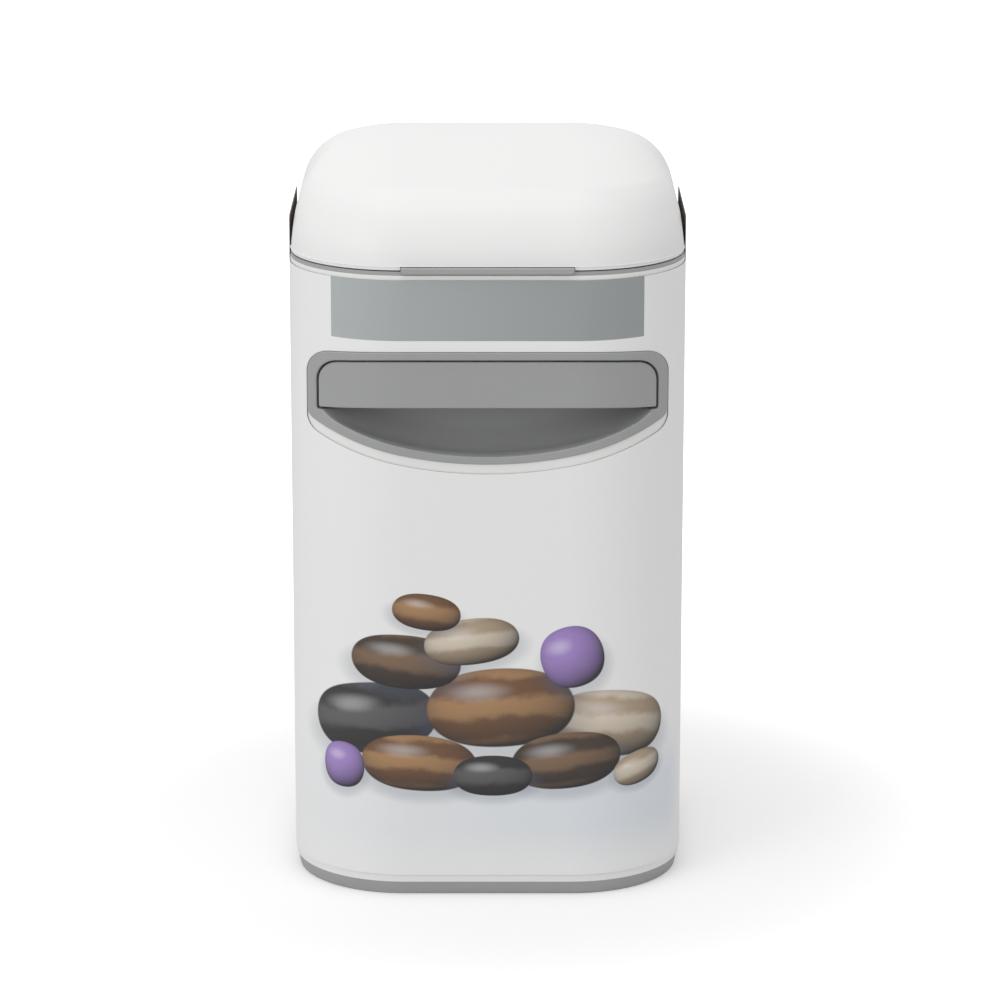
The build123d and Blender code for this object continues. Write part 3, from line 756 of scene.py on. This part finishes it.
pin_steel = drawn_steel("pin_steel", (0.58, 0.58, 0.57), 0.30, (0.05, 1.0, 1.0))
spring_steel = drawn_steel("spring_steel", (0.52, 0.52, 0.51), 0.34, (1.0, 1.0, 1.0))
zinc = drawn_steel("zinc", (0.66, 0.67, 0.68), 0.28, (1.0, 1.0, 1.0))
rubber = matte_rubber()
dress("hinge_pins", pin_steel)
for node in ("return_spring_left", "return_spring_right"):
    dress(node, spring_steel)
for node in ("clamp_screws", "handle_screws"):
    dress(node, zinc)
for node in ("rear_jaw_pad", "gate_seal", "lid_seal"):
    dress(node, rubber)
dress("roll_core", kraft_tube())
print("hardware dressed")

# %% [markdown]
# Geometry Nodes suit whatever follows a path, because the number of turns and every size stay as
# named inputs.  This class adds nodes to a tree in the same short way as a material's recipe, and
# ends each tree with Realize Instances and Set Material.


# %% Node trees
class NodeTree:
    """A Geometry Nodes tree under construction, with named inputs."""

    def __init__(self, name, **inputs):
        self.tree = bpy.data.node_groups.new(name, "GeometryNodeTree")
        self.tree.interface.new_socket("Geometry", in_out="INPUT", socket_type="NodeSocketGeometry")
        self.tree.interface.new_socket("Geometry", in_out="OUTPUT", socket_type="NodeSocketGeometry")
        self.values = inputs
        for label, value in inputs.items():
            kind = "NodeSocketInt" if isinstance(value, int) else "NodeSocketFloat"
            self.tree.interface.new_socket(label, in_out="INPUT", socket_type=kind)
        self.start = self.tree.nodes.new("NodeGroupInput")
        self.end = self.tree.nodes.new("NodeGroupOutput")

    def node(self, kind, settings=None, sockets=None, output=0):
        """Any node: its type, its settings, and the values or links of its sockets."""
        made = self.tree.nodes.new(kind)
        for key, value in (settings or {}).items():
            setattr(made, key, value)
        for key, value in (sockets or {}).items():
            if isinstance(value, bpy.types.NodeSocket):
                self.tree.links.new(value, made.inputs[key])
            else:
                made.inputs[key].default_value = value
        return made.outputs[output]

    def math(self, operation, first, second):
        return self.node("ShaderNodeMath", {"operation": operation}, {0: first, 1: second})

    def given(self, label):
        return self.start.outputs[label]

    def build(self, name, geometry, material):
        """Ends the tree, runs it once on an empty mesh and keeps the result as a plain piece."""
        whole = self.node("GeometryNodeRealizeInstances", sockets={"Geometry": geometry})
        painted = self.node("GeometryNodeSetMaterial", sockets={"Geometry": whole, "Material": material})
        self.tree.links.new(painted, self.end.inputs["Geometry"])
        piece = mesh_piece(name, [], [], material)
        modifier = piece.modifiers.new(name, "NODES")
        modifier.node_group = self.tree
        for item in self.tree.interface.items_tree:
            if item.in_out == "INPUT" and item.name in self.values:
                modifier[item.identifier] = self.values[item.name]
        settle(piece)
        return piece


print("node tree helper ready")

# %% [markdown]
# The film roll is one long strip wound round its tube, so it is built the same way: a flat spiral
# curve, swept with the strip's thin outline.  The real strip goes round hundreds of times.  A few
# thicker turns show the same rings at its ends.  A slow noise slides the turns a little to the
# left and right, which gives the roll its uneven ends.

# %% Film roll
ROLL_TURNS = 17
ROLL_STEPS = 60
ROLL_SLIDE = 0.0006
ROLL_WANDER = 0.35
# A strip a little thinner than its pitch leaves a hairline between the turns.
ROLL_FILL = 0.96


def make_film_roll():
    """The film as one wound strip, from the card tube out to the roll's full size."""
    low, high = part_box("film_roll")
    core_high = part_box("roll_core")[1][2]
    middle_y, middle_z = (low[1] + high[1]) / 2, (low[2] + high[2]) / 2
    inner = core_high - middle_z
    outer = high[2] - middle_z
    thickness = (outer - inner) / (ROLL_TURNS + 1)
    width = high[0] - low[0] - ROLL_SLIDE
    roll = NodeTree("wound_strip", Turns=float(ROLL_TURNS), Steps=ROLL_STEPS,
                    Inner=inner + thickness / 2, Outer=outer - thickness / 2,
                    Thickness=thickness * ROLL_FILL, Width=width, Slide=ROLL_SLIDE)
    spiral = roll.node("GeometryNodeCurveSpiral", sockets={
        "Resolution": roll.given("Steps"), "Rotations": roll.given("Turns"),
        "Start Radius": roll.given("Inner"), "End Radius": roll.given("Outer"), "Height": 0.0})
    index = roll.node("GeometryNodeInputIndex")
    along = roll.math("DIVIDE", index, roll.given("Steps"))
    wander = roll.node("ShaderNodeTexNoise", {"noise_dimensions": "1D"},
                       {"W": along, "Scale": ROLL_WANDER, "Detail": 3.0})
    slide = roll.math("MULTIPLY", roll.math("SUBTRACT", wander, 0.5), roll.given("Slide"))
    shift = roll.node("ShaderNodeCombineXYZ", sockets={"Z": slide})
    uneven = roll.node("GeometryNodeSetPosition", sockets={"Geometry": spiral, "Offset": shift})
    outline = roll.node("GeometryNodeCurvePrimitiveQuadrilateral", sockets={
        "Width": roll.given("Thickness"), "Height": roll.given("Width")})
    strip = roll.node("GeometryNodeCurveToMesh", sockets={
        "Curve": uneven, "Profile Curve": outline, "Fill Caps": True})
    placed = roll.node("GeometryNodeTransform", sockets={
        "Geometry": strip, "Translation": (0.0, middle_y, middle_z), "Rotation": (0.0, math.pi / 2, 0.0)})
    piece = roll.build("film_strip", placed, wound_film())
    piece.data.set_sharp_from_angle(angle=SHARP_ANGLE)
    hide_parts("film_roll")
    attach(piece, "roll")
    return piece


film_strip = make_film_roll()
print("film roll:", ROLL_TURNS, "turns,", len(film_strip.data.polygons), "faces")

# %% [markdown]
# The floor is white paper that runs on for metres, and it keeps only the pail's soft shadow.  Its
# own glow, which only the camera sees, lifts it to white, more so further from the pail.

# %% Floor
FLOOR_REACH = 30.0
FLOOR_WHITE = 0.80
FLOOR_LIFT = 0.245
FAR_LIFT = 1.0
LIFT_START = 0.25
LIFT_END = 0.80


def make_floor():
    """A wide white sweep.  A camera ray sees it lifted towards pure white."""
    mesh = bpy.data.meshes.new("studio_floor")
    corners = [(-FLOOR_REACH, -FLOOR_REACH, 0), (FLOOR_REACH, -FLOOR_REACH, 0),
               (FLOOR_REACH, FLOOR_REACH, 0), (-FLOOR_REACH, FLOOR_REACH, 0)]
    mesh.from_pydata(corners, [], [(0, 1, 2, 3)])
    floor = bpy.data.objects.new("studio_floor", mesh)
    bpy.context.scene.collection.objects.link(floor)
    recipe = Recipe("studio_paper")
    seen = recipe.node("LightPath", output="Is Camera Ray")
    place = recipe.place()
    grain = recipe.noise(place, 0.003)
    x, y, _ = recipe.axes(place)
    away = (x * x + y * y).power(0.5).rise(LIFT_START, LIFT_END)
    near_glow = (FLOOR_LIFT,) * 3
    far_glow = (FAR_LIFT,) * 3
    recipe.finish(
        Base_Color=(FLOOR_WHITE,) * 3,
        Roughness=grain * 0.05 + 0.90,
        Specular_IOR_Level=0.1,
        Emission_Strength=1.0,
    )
    glow = recipe.mix(seen, (0.0, 0.0, 0.0), recipe.mix(away, near_glow, far_glow))
    recipe.feed(recipe.shader.inputs["Emission Color"], glow)
    mesh.materials.append(recipe.material)
    return floor


studio_floor = make_floor()
print("floor:", round(2 * FLOOR_REACH), "m across")

# %% [markdown]
# A broad soft box stands above and to the left, and a second one hangs overhead.  The room's white
# walls fill the rest, so the world is a dim even light, yet white where a camera, a mirror or glass
# looks at it.

# %% Lamps and world
AMBIENT = 0.70
KEY_PLACE = (-1.9, -2.0, 1.7)
KEY_SIZE = 1.4
KEY_POWER = 15.2
TOP_PLACE = (-0.2, -0.3, 2.4)
TOP_SIZE = 1.2
TOP_POWER = 10.6
PAIL_MIDDLE = (0.0, 0.0, 0.32)


def make_lamp(name, place, aim, size, power):
    """A square soft box that points at a place."""
    data = bpy.data.lights.new(name, "AREA")
    data.energy = power
    data.size = size
    lamp = bpy.data.objects.new(name, data)
    lamp.location = place
    lamp.rotation_euler = (Vector(aim) - Vector(place)).to_track_quat("-Z", "Y").to_euler()
    bpy.context.scene.collection.objects.link(lamp)
    return lamp


def make_world():
    """White where the camera, a mirror or glass sees it, and a soft even light for all the rest."""
    world = bpy.data.worlds.new("studio_world")
    world.use_nodes = True
    tree = world.node_tree
    background = tree.nodes["Background"]
    path = tree.nodes.new("ShaderNodeLightPath")
    seen = path.outputs["Is Camera Ray"]
    for ray in ("Is Glossy Ray", "Is Transmission Ray"):
        either = tree.nodes.new("ShaderNodeMath")
        either.operation = "MAXIMUM"
        tree.links.new(seen, either.inputs[0])
        tree.links.new(path.outputs[ray], either.inputs[1])
        seen = either.outputs[0]
    strength = tree.nodes.new("ShaderNodeMapRange")
    strength.inputs["To Min"].default_value = AMBIENT
    strength.inputs["To Max"].default_value = 1.0
    tree.links.new(seen, strength.inputs["Value"])
    tree.links.new(strength.outputs["Result"], background.inputs["Strength"])
    background.inputs["Color"].default_value = (1.0, 1.0, 1.0, 1.0)
    bpy.context.scene.world = world


make_world()
make_lamp("key_box", KEY_PLACE, PAIL_MIDDLE, KEY_SIZE, KEY_POWER)
make_lamp("top_box", TOP_PLACE, PAIL_MIDDLE, TOP_SIZE, TOP_POWER)
bpy.context.scene.view_settings.view_transform = "Standard"
print("studio ready")
